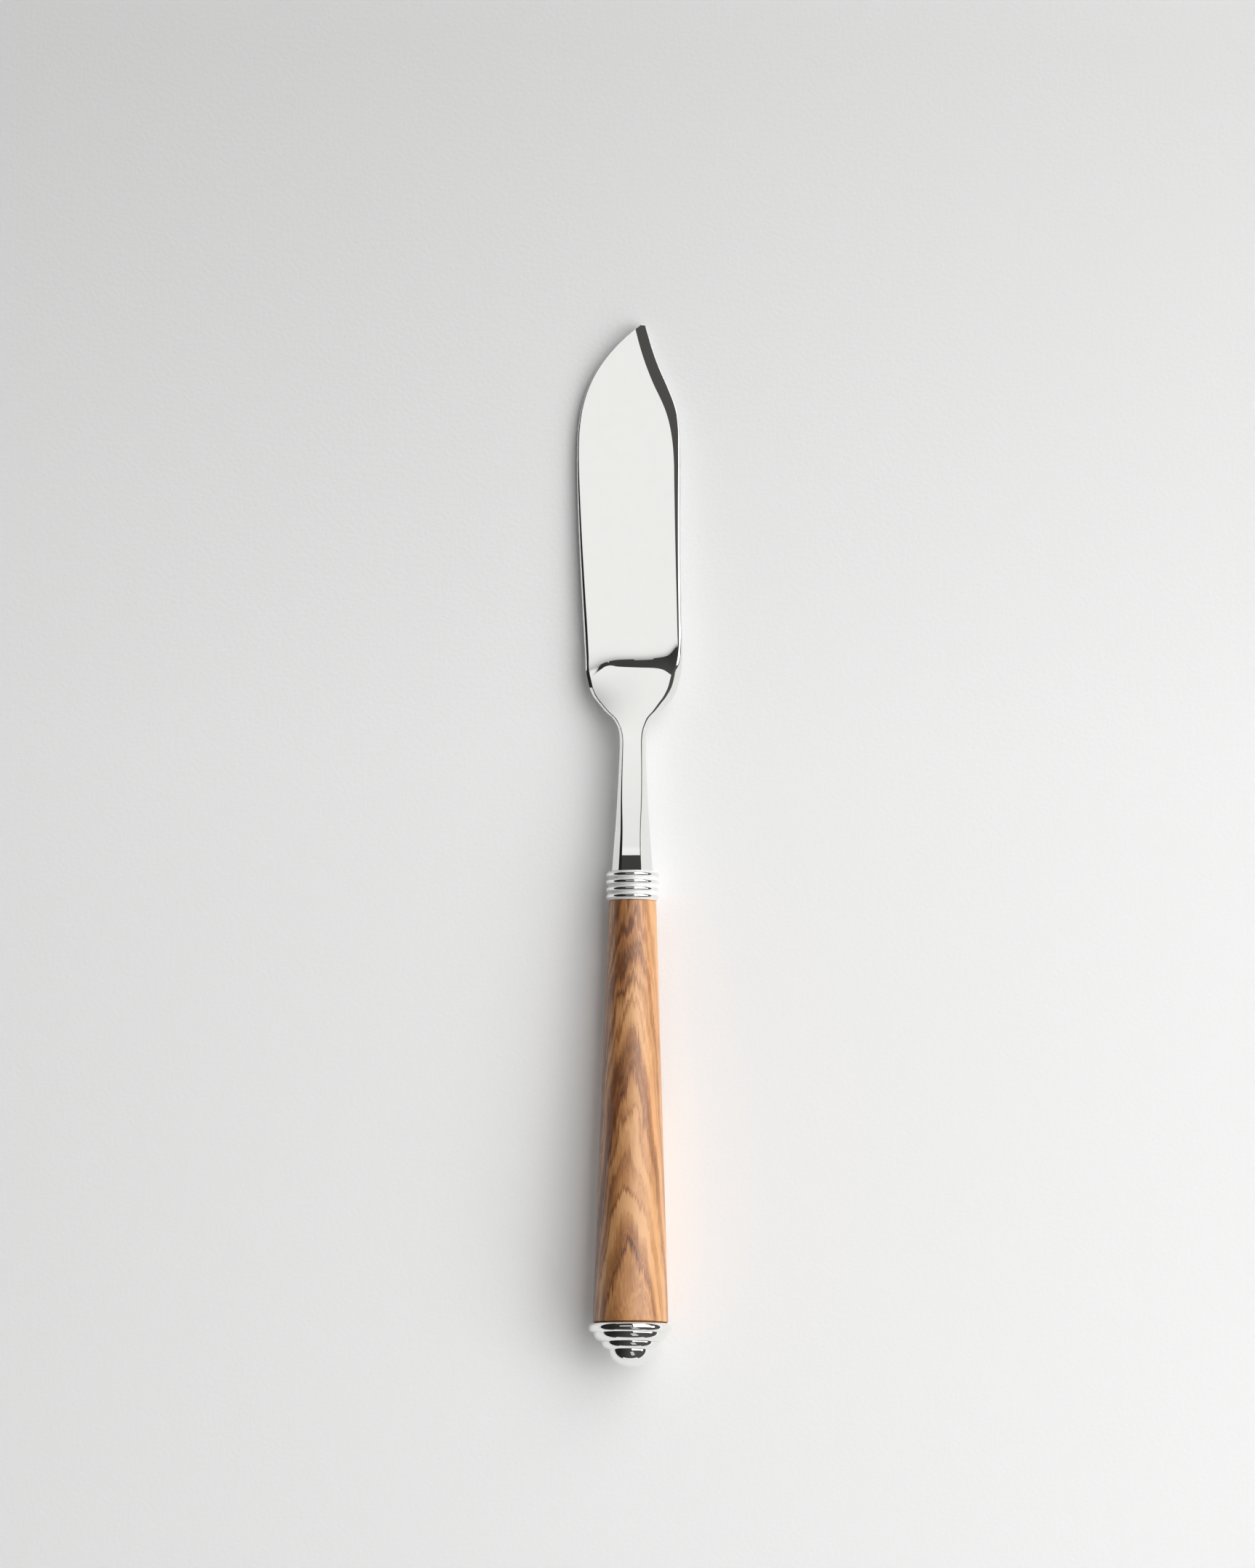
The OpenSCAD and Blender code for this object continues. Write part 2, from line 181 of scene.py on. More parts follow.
# The blade's outline. A station s is a distance from the tip along the knife, and its zone counts
# the plate from 0 to 1, the shoulder from 1 to 2 and the neck from 2 to 3
SWEEP = [[0, 0], [0.05, 0.06], [0.17, 0.2], [0.29, 0.37], [0.42, 0.595], [0.54, 0.79],
         [0.62, 0.885], [0.7, 0.94], [0.8, 0.975], [1, 1]]
NARROWING = [[0, 1], [0.16, 0.97], [0.33, 0.885], [0.41, 0.835], [0.5, 0.73], [0.58, 0.58],
             [0.67, 0.4], [0.75, 0.2], [0.84, 0.07], [0.92, 0.015], [1, 0]]
BELLY_CURVE = 3.05
HEEL_CURVE = 1.4
NECK_CURVE = 1.5


def zone(s):
    if s < PLATE_LEN:
        return s / PLATE_LEN
    if s < SHOULDER_END:
        return 1 + (s - PLATE_LEN) / SHOULDER_LEN
    return 2 + (s - SHOULDER_END) / NECK_LEN


def neck_share(s):
    return (max(s - SHOULDER_END, 0.0) / NECK_LEN) ** NECK_CURVE


def neck_half(s):
    return mix(WAIST_W, NECK_END_W, neck_share(s)) / 2


def shoulder_half(s):
    return mix(neck_half(s), HEEL_REACH, smooth(NARROWING, (s - PLATE_LEN) / SHOULDER_LEN))


def left_x(s):
    """The belly side's place across."""
    if s < BELLY_AT:
        full = 1 - (1 - max(s, 0.0) / BELLY_AT) ** BELLY_CURVE
        return TIP_OUT - (TIP_OUT + BELLY_REACH) * full
    if s < PLATE_LEN:
        back = (s - BELLY_AT) / (PLATE_LEN - BELLY_AT)
        return -mix(BELLY_REACH, HEEL_REACH, back ** HEEL_CURVE)
    return -shoulder_half(s)


def right_x(s):
    """The spine side's place across."""
    if s < SWEEP_LEN:
        return mix(TIP_OUT + TIP_W, SPINE_REACH, smooth(SWEEP, s / SWEEP_LEN))
    if s < PLATE_LEN:
        return mix(SPINE_REACH, HEEL_REACH, ((s - SWEEP_LEN) / (PLATE_LEN - SWEEP_LEN)) ** 2)
    return shoulder_half(s)


# The rise from the plate to the shoulder, by place across the plate as a share of the heel's reach:
# where its hollow begins, where it turns steep and where it ends in a ridge, in millimetres after
# the plate's end, the share of the full rise that it reaches, and the slope at the hollow's end.
# Towards the belly it stays shallow. Its steep part is nearly straight
HOLLOW_AT = [[-1, -3.4], [-0.8, -3.4], [-0.5, -2.8], [0, -2.4], [0.6, -2.8], [0.8, -3.8], [1, -4.4]]
STEEP_AT = [[-1, 4.2], [-0.814, 3.3], [-0.68, 2.4], [-0.6, 2.0], [-0.5, 1.65], [-0.4, 1.42],
            [-0.3, 1.28], [0, 1.18], [0.3, 1.1], [0.5, 0.9], [0.66, 0.6], [0.75, 0.15],
            [0.82, -0.7], [0.88, -1.5], [1, -2.0]]
RIDGE_AT = [[-1, 5.6], [-0.814, 4.4], [-0.674, 3.2], [-0.56, 2.5], [-0.45, 2.3], [-0.318, 2.56],
            [0.128, 2.82], [0.447, 2.96], [0.618, 3.3], [0.737, 4.0], [0.8, 4.5], [0.88, 4.8],
            [1, 5.1]]
RISE_SHARE = [[-1, 0.12], [-0.8, 0.26], [-0.4, 0.545], [0, 0.83], [0.17, 0.94], [0.32, 0.985],
              [0.5, 1], [1, 1]]
HOLLOW_SLOPE = [[-1, 0.1], [-0.62, 0.115], [0.6, 0.115], [0.8, 0.125], [1, 0.14]]
STEEP_STRAIGHT = 0.92

# From here to the shoulder's end the rise grows to its full height all the way across
EVEN_FROM = PLATE_LEN + SHOULDER_LEN / 6
EVEN_LEN = SHOULDER_END - EVEN_FROM

# Just before the ferrule the neck's top falls
NECK_FALL = 0.42
NECK_FALL_LEN = 4.8
NECK_FALL_CURVE = 1.3


def rise_from(x):
    return PLATE_LEN + smooth(HOLLOW_AT, x / HEEL_REACH)


def steep_from(x):
    return PLATE_LEN + smooth(STEEP_AT, x / HEEL_REACH)


def rise_to(x):
    return PLATE_LEN + smooth(RIDGE_AT, x / HEEL_REACH)


def crown_h(s):
    """Height of the shoulder's and the neck's top."""
    if s < SHOULDER_END:
        f = ease((s - PLATE_LEN) / SHOULDER_LEN)
        return mix(PLATE_T / 2 + SHOULDER_RISE, WAIST_T / 2, f)
    fall = NECK_FALL * max(1 - (BLADE_LEN - s) / NECK_FALL_LEN, 0) ** NECK_FALL_CURVE
    return mix(WAIST_T, NECK_END_T, neck_share(s)) / 2 - fall


def face_h(s, x):
    """Height of the face at a station: the plate's, the rise's or the shoulder's and neck's."""
    low = PLATE_T / 2
    begin = rise_from(x)
    if s <= begin:
        return low
    steep = steep_from(x)
    end = rise_to(x)
    full = mix(smooth(RISE_SHARE, x / HEEL_REACH), 1, ease((s - EVEN_FROM) / EVEN_LEN))
    top = low + (crown_h(s) - low) * full
    if s >= end:
        return top
    share = min((s - begin) / (steep - begin), 1)
    hollow = smooth(HOLLOW_SLOPE, x / HEEL_REACH) * (steep - begin) * share ** 3 / 3
    if s <= steep:
        return low + hollow
    f = (s - steep) / (end - steep)
    return mix(low + hollow, top, mix(f * f, f, STEEP_STRAIGHT))


# Tables by zone. On the plate, the widths of the facet, of the spine's rounding and of the belly's
# rounding, as shares of FACET_W, SPINE_ROUND_W and BELLY_ROUND_W
FACET = [[0, 0.8], [0.02, 0.86], [0.07, 0.9], [0.13, 0.95], [0.18, 1], [0.23, 0.9],
         [0.27, 0.76], [0.31, 0.6], [0.38, 0.38], [0.47, 0.3], [0.64, 0.21], [0.82, 0.14],
         [0.91, 0.12], [0.96, 0.1], [1, 0.04]]
SPINE_EDGE = [[0, 0.08], [0.1, 0.1], [0.23, 0.2], [0.3, 0.4], [0.38, 0.65], [0.64, 0.83],
              [0.96, 1], [1, 1.3]]
BELLY_ROUND = [[0, 0.24], [0.35, 0.45], [0.55, 0.7], [0.91, 1.05], [1, 1.0]]

# From the shoulder on, as shares of FLANK_W, the width of the strip beside the face, of the edge
# below it, and of the right side's own strip, whose edge takes up what is left
NECK_STRIP = [[1, 0.12], [1.2, 0.1], [1.33, 0.2], [1.5, 0.34], [1.67, 0.27], [1.84, 0.12],
              [2.06, 0.1], [2.23, 0.13], [2.45, 0.2], [2.72, 0.33], [3, 0.47]]
NECK_EDGE = [[1, 0.7], [1.23, 0.95], [1.33, 0.9], [1.5, 0.8], [1.67, 0.66], [1.84, 0.4],
             [2.06, 0.42], [2.23, 0.43], [2.45, 0.55], [2.72, 0.85], [3, 1]]
RIGHT_STRIP = [[1, 0.12], [1.12, 0.2], [1.28, 0.46], [1.5, 0.36], [1.67, 0.25], [1.84, 0.14],
               [2.06, 0.11], [2.3, 0.1], [3, 0.1]]

# How steeply the right strip and the left edge fall, and the height of the right edge's foot
STRIP_SLOPE = [[1, 0.95], [1.2, 1.0], [1.35, 0.94], [1.5, 0.85], [1.75, 0.88], [1.9, 1.0],
               [3, 1.0]]
LEFT_SLOPE = [[1, 3], [1.3, 3], [1.5, 1.5], [1.7, 1.15], [1.84, 1.1], [2.0, 0.95], [2.15, 0.88],
              [3, 0.85]]
RIGHT_SIDE = [[1, 0.1], [1.2, -0.4], [1.45, -0.4], [1.8, 0.6], [2.3, 0.5], [2.72, 0.2], [3, -0.2]]

# How much of the belly's rounding is its lower part, and where the left edge's first point lies
EDGE_PART = 0.4
EDGE_START = 0.02

# Half the height of the plate's rim and of the neck's sides, and the strip along the back's right
LAND_H = 0.1
SIDE_H = WAIST_T / 5
BACK_STRIP = 0.12

# The slope of the rounded edges, and the slope and the greatest drop of the facet
ROUND_SLOPE = 0.41
FACET_SLOPE = 0.95
DROP_MOST = 1.85

# The left flank starts narrow, and widens from this zone on over a part of a zone
LEFT_NARROW = 0.45
NARROW_UNTIL = 1.55
NARROW_FADE = 0.5

LEFT_FACE_PARTS = ("side_l", "edge_l", "strip_l")


def columns(part, steps, start, stop):
    """The columns of one part of a cross section, from one of its steps to another."""
    way = 1 if start <= stop else -1
    return [(part, i / steps) for i in range(start, stop + way, way)]


# Columns round a cross section, from the left side over the face and back underneath
COLUMNS = (
    columns("side_l", 1, 0, 0)
    + columns("edge_l", 8, 0, 8)
    + columns("strip_l", 6, 1, 5)
    + columns("face", 40, 0, 40)
    + columns("strip_r", 4, 1, 3)
    + columns("edge_r", 8, 8, 0)
    + columns("back_edge_r", 6, 0, 6)
    + columns("back", 12, 12, 0)
    + columns("back_edge_l", 6, 6, 0)
)


def edge_point(x, inward, low, high, t, solid):
    """A point on an edge from the outline at x to inward of it, and from low to high.

    It is round on the plate and straight on the solid shoulder and neck."""
    a = QUARTER * t
    round_x = x + inward * (1 - math.cos(a))
    return (mix(round_x, x + inward * t, solid),
            mix(mix(low, high, math.sin(a)), mix(low, high, t), solid))


def blade_point(s, part, t):
    """One point of the blade's skin: its x and z at station s, the share t along the part."""
    place = zone(s)
    side_l = left_x(s)
    side_r = right_x(s)
    solid = ease(4 * place - 4)
    tight = min(1, (side_r - side_l) / FACET_W)
    strip_w = FLANK_W * smooth(NECK_STRIP, place)
    edge_w = FLANK_W * smooth(NECK_EDGE, place)
    round_w = BELLY_ROUND_W * smooth(BELLY_ROUND, place) * tight
    spine_w = SPINE_ROUND_W * smooth(SPINE_EDGE, place) * tight
    # Close to the point the facet is wider than the blade, and its plane runs down to the belly
    facet_w = FACET_W * smooth(FACET, place)
    facet_room = min(facet_w, side_r - side_l - spine_w - round_w)
    sunk = (facet_w - facet_room) * FACET_SLOPE * (1 - solid)

    # The left side: a rounded edge on the plate, an edge and a strip on the shoulder and neck
    narrow = mix(LEFT_NARROW, 1, ease((place - NARROW_UNTIL) / NARROW_FADE))
    neck_strip_l = strip_w * narrow
    neck_edge_l = edge_w * narrow
    strip_l = mix(round_w * (1 - EDGE_PART), neck_strip_l, solid)
    edge_l = mix(round_w * EDGE_PART, neck_edge_l, solid)
    face_l = side_l + edge_l + strip_l
    if part in LEFT_FACE_PARTS:
        top = face_h(s, face_l) - sunk
        foot = top - neck_strip_l * ROUND_SLOPE
        side = max(foot - neck_edge_l * smooth(LEFT_SLOPE, place), SIDE_H)
        if part == "side_l":
            return side_l, mix(LAND_H, side, solid)
        turn = math.acos(1 - EDGE_PART)
        if part == "edge_l":
            a = turn * t
            neck_x = side_l + neck_edge_l * mix(EDGE_START, 1, t)
            neck_z = mix(side, foot, mix(EDGE_START, 1, t))
        else:
            a = mix(turn, QUARTER, t)
            neck_x = side_l + neck_edge_l + neck_strip_l * t
            neck_z = mix(foot, top, t)
        round_x = side_l + round_w * (1 - math.cos(a))
        round_z = top - round_w * (1 - math.sin(a))
        return mix(round_x, neck_x, solid), mix(round_z, neck_z, solid)
    if part == "back_edge_l":
        under = -(face_h(s, face_l) - strip_l * ROUND_SLOPE)
        return edge_point(side_l, edge_l, -mix(LAND_H, SIDE_H, solid), under, t, solid)

    # The right side: the facet on the plate, which narrows to the strip on the shoulder and neck
    neck_strip_r = FLANK_W * smooth(RIGHT_STRIP, place)
    strip_r = mix(facet_room, neck_strip_r, solid)
    edge_r = mix(spine_w, strip_w + edge_w - neck_strip_r, solid)
    face_r = side_r - edge_r - strip_r
    back_strip = mix(BACK_STRIP, strip_r, solid)
    back_r = side_r - edge_r - back_strip
    if part == "face":
        x = mix(face_l, face_r, t)
        return x, face_h(s, x) - sunk
    if part == "back":
        x = mix(face_l, back_r, t)
        return x, -face_h(s, x)
    top = face_h(s, face_r) - sunk
    slope = mix(FACET_SLOPE, smooth(STRIP_SLOPE, place), solid)
    foot = top - min(strip_r * slope, DROP_MOST - sunk)
    if part == "strip_r":
        return mix(face_r, side_r - edge_r, t), mix(top, foot, t)
    floor_h = PLATE_T / 2 - LAND_H - BACK_STRIP
    side = mix(max(min(LAND_H, foot - edge_r), -floor_h), smooth(RIGHT_SIDE, place), solid)
    if part == "edge_r":
        return edge_point(side_r, -edge_r, side, foot, t, solid)
    under = -(face_h(s, back_r) - back_strip * ROUND_SLOPE)
    return edge_point(side_r, -edge_r, mix(side - LAND_H, -SIDE_H, solid), under, t, solid)


# The skin's rows, from the tip to the ferrule. They are straight but for the heel's, which follow
# the curved rise: before it, in its hollow, on its steep part and after it, where their stretch is
# at least AFTER_LEAST long
HEEL_FROM = PLATE_LEN - SHOULDER_LEN / 3
HEEL_TO = PLATE_LEN + SHOULDER_LEN * 0.42
AFTER_LEAST = 0.5

# How often the station of a point in the heel is worked out again, how much the rows crowd towards
# the tip, and how many rows each stretch has
HEEL_TRIES = 4
TIP_CROWDING = 1.7
TIP_ROWS = 90
PLATE_ROWS = 60
BEFORE_ROWS = 8
HOLLOW_ROWS = 14
STEEP_ROWS = 12
AFTER_ROWS = 24
SHOULDER_ROWS = 60
NECK_ROWS = 70


def row_station(row, x):
    """Station of a row of the skin where it passes x."""
    kind, f = row
    if kind == "straight":
        return f
    begin = rise_from(x)
    steep = steep_from(x)
    end = rise_to(x)
    if kind == "before":
        return mix(HEEL_FROM, begin, f)
    if kind == "hollow":
        return mix(begin, steep, f)
    if kind == "steep":
        return mix(steep, end, f)
    return mix(end, max(HEEL_TO, end + AFTER_LEAST), f)


def rows(kind, steps, last=0):
    """Rows at even shares of a stretch of the heel, less its end unless last is 1."""
    return [(kind, i / steps) for i in range(steps + last)]


def straight_rows(begin, end, steps, last=1):
    """Straight rows at even distances after begin, up to end or, if last is 0, short of it."""
    return [("straight", mix(begin, end, i / steps)) for i in range(1, steps + last)]


ROWS = (
    [("straight", SWEEP_LEN * (i / TIP_ROWS) ** TIP_CROWDING) for i in range(TIP_ROWS + 1)]
    + straight_rows(SWEEP_LEN, HEEL_FROM, PLATE_ROWS, 0)
    + rows("before", BEFORE_ROWS)
    + rows("hollow", HOLLOW_ROWS)
    + rows("steep", STEEP_ROWS)
    + rows("after", AFTER_ROWS, 1)
    + straight_rows(HEEL_TO, SHOULDER_END, SHOULDER_ROWS)
    + straight_rows(SHOULDER_END, BLADE_LEN, NECK_ROWS)
)


# How meshes are finished: points closer than this, in metres, are merged, and edges that turn by
# more than an angle, in degrees, are sharp
MERGE_DIST = 1e-7
BLADE_SHARP_FROM = 16.0
TURNED_SHARP_FROM = 25.0


def mesh_object(name, verts, faces, material, sharp_from):
    """A closed mesh with merged points and outward normals, smooth below an angle in degrees."""
    mesh = bpy.data.meshes.new(name)
    mesh.from_pydata(verts, [], faces)
    mesh.materials.append(material)
    bm = bmesh.new()
    bm.from_mesh(mesh)
    bmesh.ops.remove_doubles(bm, verts=bm.verts, dist=MERGE_DIST)
    bmesh.ops.recalc_face_normals(bm, faces=bm.faces)
    if bm.calc_volume(signed=True) < 0:
        bmesh.ops.reverse_faces(bm, faces=bm.faces)
    bm.to_mesh(mesh)
    bm.free()
    mesh.polygons.foreach_set("use_smooth", [True] * len(mesh.polygons))
    mesh.set_sharp_from_angle(angle=math.radians(sharp_from))
    obj = bpy.data.objects.new(name, mesh)
    bpy.context.scene.collection.objects.link(obj)
    return obj


def skin_point(row, part, t):
    """A point of the blade's skin. In the heel's rows its station depends on its own x."""
    s = row_station(row, 0.0)
    x, z = blade_point(s, part, t)
    if row[0] != "straight":
        for _ in range(HEEL_TRIES):
            s = row_station(row, x)
            x, z = blade_point(s, part, t)
    return LIE @ Vector((x, BLADE_LEN - s, z))


def build_blade(material):
    verts = [skin_point(row, part, t) for row in ROWS for part, t in COLUMNS]
    n = len(COLUMNS)
    faces = []
    for i in range(len(ROWS) - 1):
        for j in range(n):
            k = (j + 1) % n
            faces.append((i * n + j, i * n + k, (i + 1) * n + k, (i + 1) * n + j))
    for row, s in ((0, 0.0), (len(ROWS) - 1, BLADE_LEN)):
        middle = Vector(((left_x(s) + right_x(s)) / 2, BLADE_LEN - s, 0))
        verts.append(LIE @ middle)
        for j in range(n):
            faces.append((row * n + j, row * n + (j + 1) % n, len(verts) - 1))
    return mesh_object("steel_blade", verts, faces, material, BLADE_SHARP_FROM)


def turned(name, outline, material, around):
    """A body of revolution about the knife's axis, from a closed loop of radius and y."""
    verts = []
    for r, y in outline:
        for k in range(around):
            a = 2 * math.pi * k / around
            verts.append(LIE @ Vector((r * math.cos(a), y, r * math.sin(a))))
    faces = []
    for i in range(len(outline)):
        j = (i + 1) % len(outline)
        if outline[i][0] == 0 and outline[j][0] == 0:
            continue
        for k in range(around):
            m = (k + 1) % around
            faces.append((i * around + k, i * around + m, j * around + m, j * around + k))
    return mesh_object(name, verts, faces, material, TURNED_SHARP_FROM)


def arc(cx, cy, rx, ry, start, end, steps):
    """Points on an ellipse's arc from one angle to another."""
    turns = [mix(start, end, i / steps) for i in range(steps + 1)]
    return [(cx + rx * math.cos(a), cy + ry * math.sin(a)) for a in turns]


def ferrule_outline():
    """Beads with round crests and round-bottomed grooves, joined by straight flanks."""
    flank = BEAD_PITCH / 2 - (CREST_R + GROOVE_R) * math.sin(FLANK_TURN)
    round_drop = (CREST_R + GROOVE_R) * (1 - math.cos(FLANK_TURN))
    floor_r = BEAD_D / 2 - round_drop - flank * math.tan(FLANK_TURN)
    pts = []
    for k in range(BEADS):
        y = -k * BEAD_PITCH
        pts += arc(floor_r + GROOVE_R, y, GROOVE_R, GROOVE_R, math.pi, math.pi + FLANK_TURN,
                   BEAD_STEPS)
        pts += arc(BEAD_D / 2 - CREST_R, y - BEAD_PITCH / 2, CREST_R, CREST_R, FLANK_TURN,
                   -FLANK_TURN, 2 * BEAD_STEPS)
        pts += arc(floor_r + GROOVE_R, y - BEAD_PITCH, GROOVE_R, GROOVE_R, math.pi - FLANK_TURN,
                   math.pi, BEAD_STEPS)[:-1]
    pts.append((floor_r, -FERRULE_LEN))
    inner = TENON_D / 2 + FIT
    bore = ROD_D / 2 + FIT
    stub = ROD_D / 2 + STUB_WALL + FIT
    rear = -FERRULE_LEN + TENON_LEN + END_ROOM
    front = -STUB_LEN - END_ROOM
    return pts + [(inner, -FERRULE_LEN), (inner, rear), (bore, rear), (bore, front), (stub, front),
                  (stub, 0)]


def handle_outline():
    edge = HANDLE_EDGE_R
    front = HANDLE_FRONT_D / 2
    back = HANDLE_BACK_D / 2
    bore = HANDLE_BORE_D / 2
    tenon_y = HANDLE_Y + TENON_LEN
    pocket_y = HANDLE_BACK_Y + POCKET_DEEP
    pts = [(TENON_D / 2, tenon_y), (TENON_D / 2, HANDLE_Y)]
    pts += arc(front - edge, HANDLE_Y - edge, edge, edge, QUARTER, 0, EDGE_STEPS)
    for i in range(1, GRIP_ROWS):
        f = i / GRIP_ROWS
        pts.append((mix(front, back, f), mix(HANDLE_Y - edge, HANDLE_BACK_Y + edge, f)))
    pts += arc(back - edge, HANDLE_BACK_Y + edge, edge, edge, 0, -QUARTER, EDGE_STEPS)
    return pts + [(POCKET_D / 2, HANDLE_BACK_Y), (POCKET_D / 2, pocket_y), (bore, pocket_y),
                  (bore, tenon_y)]


def step_outline(y, length, top_r, foot_r):
    """A step that starts at its fullest and turns inwards on one arc."""
    drop = top_r - foot_r
    arc_r = (length ** 2 + drop ** 2) / (2 * drop)
    return arc(top_r - arc_r, y, arc_r, arc_r, 0, -math.asin(min(length / arc_r, 1)), ARC_STEPS)


def pommel_outline():
    pts = arc(RING_1_D / 2 - RING_1_BULGE, RING_1_MID, RING_1_BULGE, RING_1_LEN / 2, QUARTER,
              -QUARTER, RING_STEPS)
    pts += step_outline(RING_2_Y, RING_2_LEN, RING_2_D / 2, RING_3_D / 2 - NOTCH_W)
    pts += step_outline(RING_3_Y, RING_3_LEN, RING_3_D / 2, BALL_D / 2 - NOTCH_W)
    pts += arc(0, BALL_Y, BALL_D / 2, BALL_LEN, 0, -QUARTER, BALL_STEPS)[:-1]
    hole = ROD_D / 2 + FIT
    deep = POMMEL_Y - ROD_IN_POMMEL - HOLE_ROOM
    front = HANDLE_BACK_Y + COLLAR_LEN
    collar = POCKET_D / 2 - FIT
    return pts + [(0.0, POMMEL_BACK_Y), (0.0, deep), (hole, deep), (hole, front), (collar, front),
                  (collar, POMMEL_Y)]


# Materials. Lengths are in millimetres: how deep the fine bumps of each go, and the blur of the
# line where the silver turns matt
METAL_BUMPS = 0.02
WOOD_BUMPS = 0.06
PLAIN_BUMPS = 0.1
PAPER_BUMPS = 0.12
MATT_BLUR = 0.02


def node_material(name):
    mat = bpy.data.materials.new(name)
    mat.use_nodes = True
    tree = mat.node_tree
    return mat, tree, tree.nodes["Principled BSDF"]


def fill(tree, node, inputs):
    """Sets a node's inputs. A socket is linked, and anything else becomes the value."""
    for key, value in inputs.items():
        if isinstance(value, bpy.types.NodeSocket):
            tree.links.new(value, node.inputs[key])
        else:
            node.inputs[key].default_value = value


def add(tree, kind, inputs=None, **props):
    node = tree.nodes.new(kind)
    for key, value in props.items():
        setattr(node, key, value)
    fill(tree, node, inputs or {})
    return node


def math_node(tree, op, a, b=0.0, c=0.0):
    return add(tree, "ShaderNodeMath", {0: a, 1: b, 2: c}, operation=op).outputs[0]


def knife_coordinates(tree):
    """Millimetres along the knife's own axes, whatever way it lies."""
    coord = add(tree, "ShaderNodeTexCoord").outputs["Object"]
    turn = (Matrix.Rotation(-TILT, 3, "X") @ Matrix.Rotation(-ROLL, 3, "Y")).to_euler("XYZ")
    mapping = add(
        tree, "ShaderNodeMapping",
        {"Vector": coord, "Location": [REST_X * MM, REST_Y * MM, LIFT * MM],
         "Rotation": list(turn), "Scale": [MM, MM, MM]},
        vector_type="TEXTURE",
    )
    return mapping.outputs[0]


def ramp(tree, value, stops):
    """A colour that follows a value through the stops, each a place and a colour."""
    node = add(tree, "ShaderNodeValToRGB", {"Fac": value})
    items = node.color_ramp.elements
    while len(items) < len(stops):
        items.new(0.5)
    for item, (place, colour) in zip(items, stops):
        item.position = place
        item.color = (*colour, 1.0)
    return node.outputs["Color"]


def range_map(tree, value, low, high, to_low, to_high):
    return add(
        tree, "ShaderNodeMapRange",
        {"Value": value, "From Min": low, "From Max": high, "To Min": to_low, "To Max": to_high},
    ).outputs[0]


def swayed(tree, value, source, by, low=0.0, high=1.0):
    """The value plus the source, which is brought from low and high to by either side of zero."""
    return math_node(tree, "ADD", value, range_map(tree, source, low, high, -by, by))


def long_noise(tree, where, across, along, detail, rough=0.5):
    """Noise drawn out along the knife, with its scales per millimetre."""
    vector = add(tree, "ShaderNodeMapping", {"Vector": where, "Scale": [across, along, across]})
    return add(tree, "ShaderNodeTexNoise",
               {"Vector": vector.outputs[0], "Scale": 1.0, "Detail": detail,
                "Roughness": rough}).outputs[0]


def layer_noise(tree, layer, scale, detail, rough=0.5):
    """Noise that only changes from one growth layer to the next."""
    return add(tree, "ShaderNodeTexNoise",
               {"W": math_node(tree, "MULTIPLY", layer, scale), "Scale": 1.0, "Detail": detail,
                "Roughness": rough}, noise_dimensions="1D").outputs[0]


def bumps(tree, shader, height, strength, deep):
    """Gives a shader fine bumps that follow a height."""
    bump = add(tree, "ShaderNodeBump",
               {"Height": height, "Strength": strength, "Distance": deep * MM})
    fill(tree, shader, {"Normal": bump.outputs[0]})


def metal(name, colour, rough_low, rough_high, hair, matt_below=0.0):
    """Polished metal: faint polishing lines along the knife and slightly uneven gloss.

    Nearer to the axis than matt_below, in millimetres, no polishing has reached it, and it is pale
    and matt."""
    mat, tree, shader = node_material(name)
    where = knife_coordinates(tree)
    cloud = add(tree, "ShaderNodeTexNoise", {"Vector": where, "Scale": 0.35, "Detail": 3.0})
    rough = range_map(tree, cloud.outputs[0], 0.3, 0.7, rough_low, rough_high)
    tint = ramp(tree, cloud.outputs[0], [(0.3, [c * 0.985 for c in colour]), (0.7, colour)])
    metallic = 1.0
    if matt_below:
        flat = add(tree, "ShaderNodeVectorMath", {0: where, 1: (1.0, 0.0, 1.0)},
                   operation="MULTIPLY").outputs[0]
        radius = add(tree, "ShaderNodeVectorMath", {0: flat}, operation="LENGTH").outputs["Value"]
        matt = range_map(tree, radius, matt_below - MATT_BLUR, matt_below + MATT_BLUR, 1.0, 0.0)
        rough = math_node(tree, "ADD", rough, math_node(tree, "MULTIPLY", matt, 0.45))
        metallic = range_map(tree, matt, 0.0, 1.0, 1.0, 0.25)
    fill(tree, shader, {"Base Color": tint, "Metallic": metallic, "Roughness": rough})
    bumps(tree, shader, long_noise(tree, where, 5.0, 0.25, 4.0), hair, METAL_BUMPS)
    return mat


# The olive wood's growth layers. They tilt along the grip and bowl across it, so its round surface
# cuts them into nested arches that point to the ferrule
LAYER_TILT = 0.115
LAYER_BOWL = 0.016
BOWL_ASIDE = 0.9
YEARS_PER_MM = 0.9
LATE_FULL_TO = 0.5
LATE_FAINT_FROM = 4.5


